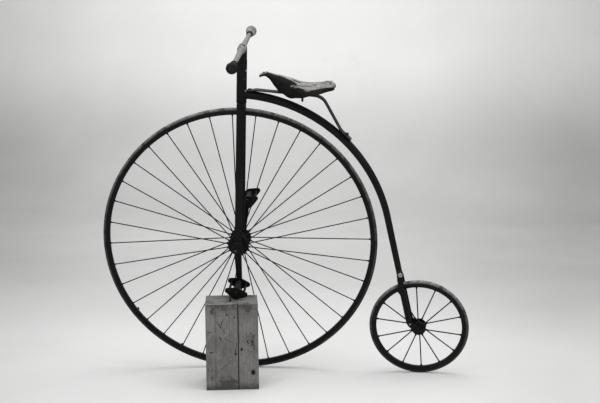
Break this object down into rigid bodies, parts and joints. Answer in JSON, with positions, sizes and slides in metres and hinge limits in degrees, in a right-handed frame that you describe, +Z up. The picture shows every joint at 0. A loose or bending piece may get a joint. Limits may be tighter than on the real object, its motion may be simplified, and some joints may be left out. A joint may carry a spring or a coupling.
{
  "type": "high-wheel bicycle",
  "caption": "High-wheel bicycle with a small rear wheel, sprung leather saddle and straight bar, leaning on a wooden block under its left pedal.",
  "frame": {"origin": "on the floor, under the middle of the whole object's box as it stands", "axes": "+X to the rear of the bicycle, +Y to the rider's right, +Z up; the bicycle leans to -Y"},
  "size_m": [1.683, 0.8276, 1.6103],
  "materials": {
    "rubber": "worn matt solid rubber",
    "timber": "weathered raw timber",
    "saddle_leather": "dry cracked leather",
    "bare_steel": "bare worn steel",
    "horn": "worn turned horn",
    "spoke_wire": "black worn wire",
    "rim_iron": "black enamel, rubbed",
    "running_gear": "black oily iron",
    "frame_enamel": "old black enamel"
  },
  "bodies": {
    "front_wheel": {"front_tyre": "rubber", "front_rim": "rim_iron", "front_spokes_left": "spoke_wire", "front_spokes_right": "spoke_wire", "front_hub": "running_gear", "front_axle": "running_gear", "crank_left": "running_gear", "pedal_pin_left": "running_gear", "crank_right": "running_gear", "pedal_pin_right": "running_gear"},
    "rear_wheel": {"rear_tyre": "rubber", "rear_rim": "rim_iron", "rear_spokes_left": "spoke_wire", "rear_spokes_right": "spoke_wire", "rear_hub": "running_gear"},
    "pedal_left": {"pedal_body_left": "running_gear", "pedal_bars_left": "running_gear"},
    "pedal_right": {"pedal_body_right": "running_gear", "pedal_bars_right": "running_gear"},
    "fork": {"fork_crown": "frame_enamel", "fork_blade_left": "frame_enamel", "fork_bearing_left": "running_gear", "fork_blade_right": "frame_enamel", "fork_bearing_right": "running_gear", "top_nut": "frame_enamel", "handlebar": "bare_steel", "grip_left": "horn", "grip_right": "horn"},
    "frame": {"steering_socket": "frame_enamel", "backbone": "frame_enamel", "rear_fork_crown": "frame_enamel", "rear_fork_left": "frame_enamel", "rear_fork_right": "frame_enamel", "rear_axle": "running_gear", "mounting_step": "frame_enamel", "saddle_spring": "frame_enamel", "spring_nuts": "frame_enamel", "saddle_bar": "frame_enamel", "saddle_bolt": "frame_enamel", "saddle_leather": "saddle_leather", "block_timber_wide": "timber", "block_timber_narrow": "timber"}
  },
  "joints": [
    {"name": "steering", "type": "hinge", "parent": "frame", "child": "fork", "pos_m": [-0.20878, 0.17192, 0.62296], "axis": [0.0656, -0.1904, 0.9795], "range_deg": [-34.9, 25.1]},
    {"name": "front_wheel_spin", "type": "hinge", "parent": "fork", "child": "front_wheel", "pos_m": [-0.20878, 0.17192, 0.62296], "axis": [-0.0854, 0.977, 0.1956], "continuous": true},
    {"name": "pedal_left_spin", "type": "hinge", "parent": "front_wheel", "child": "pedal_left", "pos_m": [-0.19983, 0.10213, 0.44377], "axis": [-0.0854, 0.977, 0.1956], "continuous": true},
    {"name": "pedal_right_spin", "type": "hinge", "parent": "front_wheel", "child": "pedal_right", "pos_m": [-0.18417, 0.24523, 0.79925], "axis": [-0.0854, 0.977, 0.1956], "continuous": true},
    {"name": "rear_wheel_spin", "type": "hinge", "parent": "frame", "child": "rear_wheel", "pos_m": [0.6125, 0.24939, 0.225], "axis": [-0.0001, 0.9816, 0.1908], "continuous": true}
  ],
  "couplings": [
    {"joint": "pedal_left_spin", "follows": "front_wheel_spin", "ratio": -1},
    {"joint": "pedal_right_spin", "follows": "front_wheel_spin", "ratio": -1}
  ]
}
